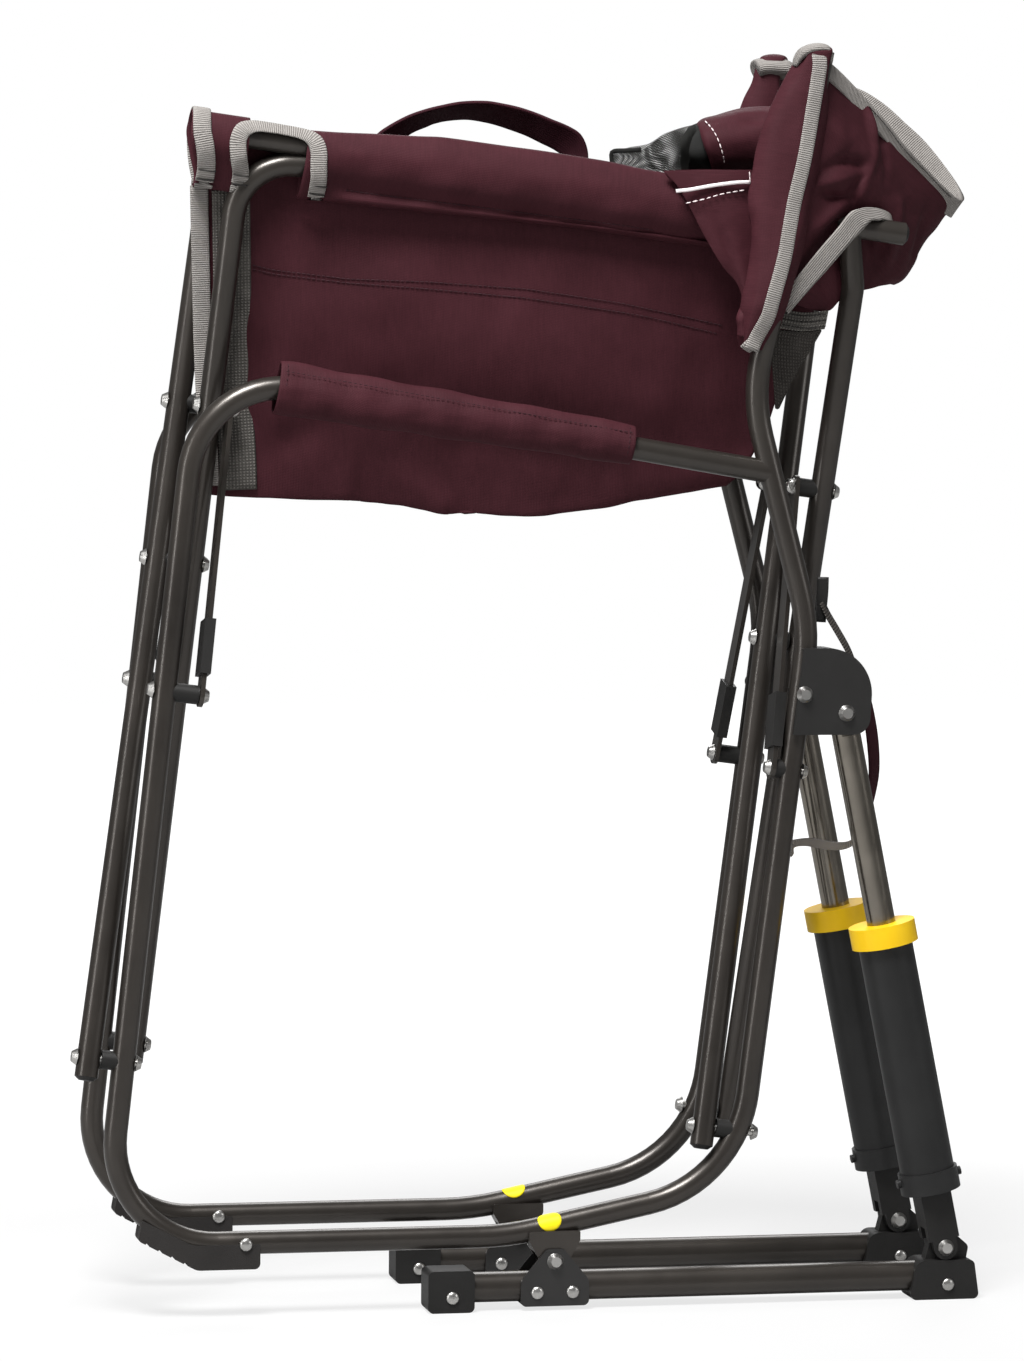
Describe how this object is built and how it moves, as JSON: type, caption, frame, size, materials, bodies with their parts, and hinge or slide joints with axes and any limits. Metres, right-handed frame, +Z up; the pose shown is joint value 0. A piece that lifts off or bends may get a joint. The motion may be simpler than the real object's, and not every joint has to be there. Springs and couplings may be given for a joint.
{
  "type": "folding rocking chair",
  "caption": "Side-folding rocking chair, folded flat: two side frames on base rails with pistons, crossed legs with braces, cloth seat, back and arm sleeves.",
  "frame": {"origin": "on the floor, under the middle of the chair's overall box, folded", "axes": "+Z up, the chair's front towards -X, the near side frame towards -Y"},
  "size_m": [0.6375, 0.1664, 0.8721],
  "materials": {
    "frame_paint": "gunmetal powder coat, satin",
    "black_steel": "black powder coat",
    "cylinder_black": "black satin",
    "black_plastic": "moulded black plastic",
    "yellow_plastic": "yellow moulded plastic",
    "foot_rubber": "dark rubber",
    "zinc_fasteners": "bright zinc",
    "chrome_rod": "polished rod",
    "maroon_cloth": "coated polyester weave",
    "maroon_webbing": "woven webbing",
    "grey_binding": "grey woven binding",
    "black_mesh": "black mesh"
  },
  "bodies": {
    "near_base": {"near_base_rail": "frame_paint", "near_rail_front_cap": "black_plastic", "near_rail_rear_cap": "black_plastic", "near_rock_saddle": "black_steel", "near_base_fasteners": "zinc_fasteners"},
    "near_frame": {"near_side_tube": "frame_paint", "near_front_foot": "foot_rubber", "near_rock_lug": "frame_paint", "near_piston_bracket": "black_steel", "near_frame_bolts": "zinc_fasteners", "near_pivot_spacers": "black_plastic", "near_arm_sleeve": "maroon_cloth", "near_back_sleeve": "grey_binding"},
    "near_cylinder": {"near_piston_cylinder": "cylinder_black", "near_piston_collar": "yellow_plastic", "near_piston_fork": "black_plastic"},
    "near_rod": {"near_piston_rod": "chrome_rod"},
    "near_brace": {"near_brace_bars": "frame_paint", "near_brace_sleeves": "black_plastic", "near_brace_bolts": "zinc_fasteners"},
    "far_base": {"far_base_rail": "frame_paint", "far_rail_front_cap": "black_plastic", "far_rail_rear_cap": "black_plastic", "far_rock_saddle": "black_steel", "far_base_fasteners": "zinc_fasteners"},
    "far_frame": {"far_side_tube": "frame_paint", "far_front_foot": "foot_rubber", "far_rock_lug": "frame_paint", "far_piston_bracket": "black_steel", "far_frame_bolts": "zinc_fasteners", "far_pivot_spacers": "black_plastic", "far_arm_sleeve": "maroon_cloth", "far_back_sleeve": "grey_binding"},
    "far_cylinder": {"far_piston_cylinder": "cylinder_black", "far_piston_collar": "yellow_plastic", "far_piston_fork": "black_plastic"},
    "far_rod": {"far_piston_rod": "chrome_rod"},
    "far_brace": {"far_brace_bars": "frame_paint", "far_brace_sleeves": "black_plastic", "far_brace_bolts": "zinc_fasteners"},
    "near_footed_cross_frame": {"near_footed_seat_tube": "frame_paint", "near_footed_front_leg": "frame_paint", "near_footed_rear_leg": "frame_paint", "near_footed_end_plugs": "black_plastic", "near_footed_spacers": "black_plastic", "near_footed_pivot_bolts": "zinc_fasteners", "seat_far_panel": "maroon_cloth", "carry_handle": "maroon_webbing"},
    "far_footed_cross_frame": {"far_footed_seat_tube": "frame_paint", "far_footed_front_leg": "frame_paint", "far_footed_rear_leg": "frame_paint", "far_footed_end_plugs": "black_plastic", "far_footed_spacers": "black_plastic", "far_footed_pivot_bolts": "zinc_fasteners", "seat_near_panel": "maroon_cloth", "retaining_strap": "maroon_webbing"},
    "folding_back": {"back_panel": "maroon_cloth", "mesh_pocket": "black_mesh"}
  },
  "joints": [
    {"name": "rock", "type": "hinge", "parent": "near_base", "child": "near_frame", "pos_m": [0.0155, -0.06, 0.034], "axis": [0, 1, 0], "range_deg": [0, 16], "stiffness_Nm_per_rad": 12},
    {"name": "fold", "type": "hinge", "parent": "near_frame", "child": "near_footed_cross_frame", "pos_m": [-0.06897, -0.06, 0.14832], "axis": [-0.9917, 0, 0.1288], "range_deg": [0, 47.85]},
    {"name": "crossing_pivot", "type": "hinge", "parent": "near_footed_cross_frame", "child": "far_footed_cross_frame", "pos_m": [-0.02521, 0, 0.48523], "axis": [-0.9917, 0, 0.1288], "range_deg": [-95.72, 0]},
    {"name": "far_foot_pivot", "type": "hinge", "parent": "far_footed_cross_frame", "child": "far_frame", "pos_m": [-0.06897, 0.06, 0.14832], "axis": [-0.9917, 0, 0.1288], "range_deg": [0, 47.87]},
    {"name": "far_rock_pivot", "type": "hinge", "parent": "far_frame", "child": "far_base", "pos_m": [0.0155, 0.06, 0.034], "axis": [0, 1, 0], "range_deg": [-16.02, 0]},
    {"name": "near_brace_pivot", "type": "hinge", "parent": "near_frame", "child": "near_brace", "pos_m": [-0.03639, -0.06, 0.39921], "axis": [-0.9917, 0, 0.1288], "range_deg": [0, 81.34]},
    {"name": "far_brace_pivot", "type": "hinge", "parent": "far_frame", "child": "far_brace", "pos_m": [-0.03639, 0.06, 0.39921], "axis": [-0.9917, 0, 0.1288], "range_deg": [-81.34, 0]},
    {"name": "back_spread", "type": "slide", "parent": "near_frame", "child": "folding_back", "axis": [0, 1, 0], "range_m": [0, 0.46449]},
    {"name": "near_cylinder_pivot", "type": "hinge", "parent": "near_base", "child": "near_cylinder", "pos_m": [0.295, -0.06, 0.0363], "axis": [0, 1, 0], "range_deg": [0, 14.9]},
    {"name": "near_rod_slide", "type": "slide", "parent": "near_cylinder", "child": "near_rod", "axis": [-0.2013, 0, 0.9795], "range_m": [-0.07785, 0]},
    {"name": "far_cylinder_pivot", "type": "hinge", "parent": "far_base", "child": "far_cylinder", "pos_m": [0.295, 0.06, 0.0363], "axis": [0, 1, 0], "range_deg": [0, 14.9]},
    {"name": "far_rod_slide", "type": "slide", "parent": "far_cylinder", "child": "far_rod", "axis": [-0.2013, 0, 0.9795], "range_m": [-0.07785, 0]}
  ],
  "couplings": [
    {"joint": "crossing_pivot", "follows": "fold", "ratio": -2},
    {"joint": "far_foot_pivot", "follows": "fold", "ratio": 1},
    {"joint": "far_rock_pivot", "follows": "rock", "ratio": -1},
    {"joint": "near_brace_pivot", "follows": "fold", "ratio": 1.6996},
    {"joint": "far_brace_pivot", "follows": "fold", "ratio": -1.6996},
    {"joint": "back_spread", "follows": "fold", "m_per_rad": 0.55594},
    {"joint": "near_cylinder_pivot", "follows": "rock", "ratio": 0.93},
    {"joint": "near_rod_slide", "follows": "rock", "m_per_rad": -0.27808},
    {"joint": "far_cylinder_pivot", "follows": "rock", "ratio": 0.93},
    {"joint": "far_rod_slide", "follows": "rock", "m_per_rad": -0.27808}
  ]
}
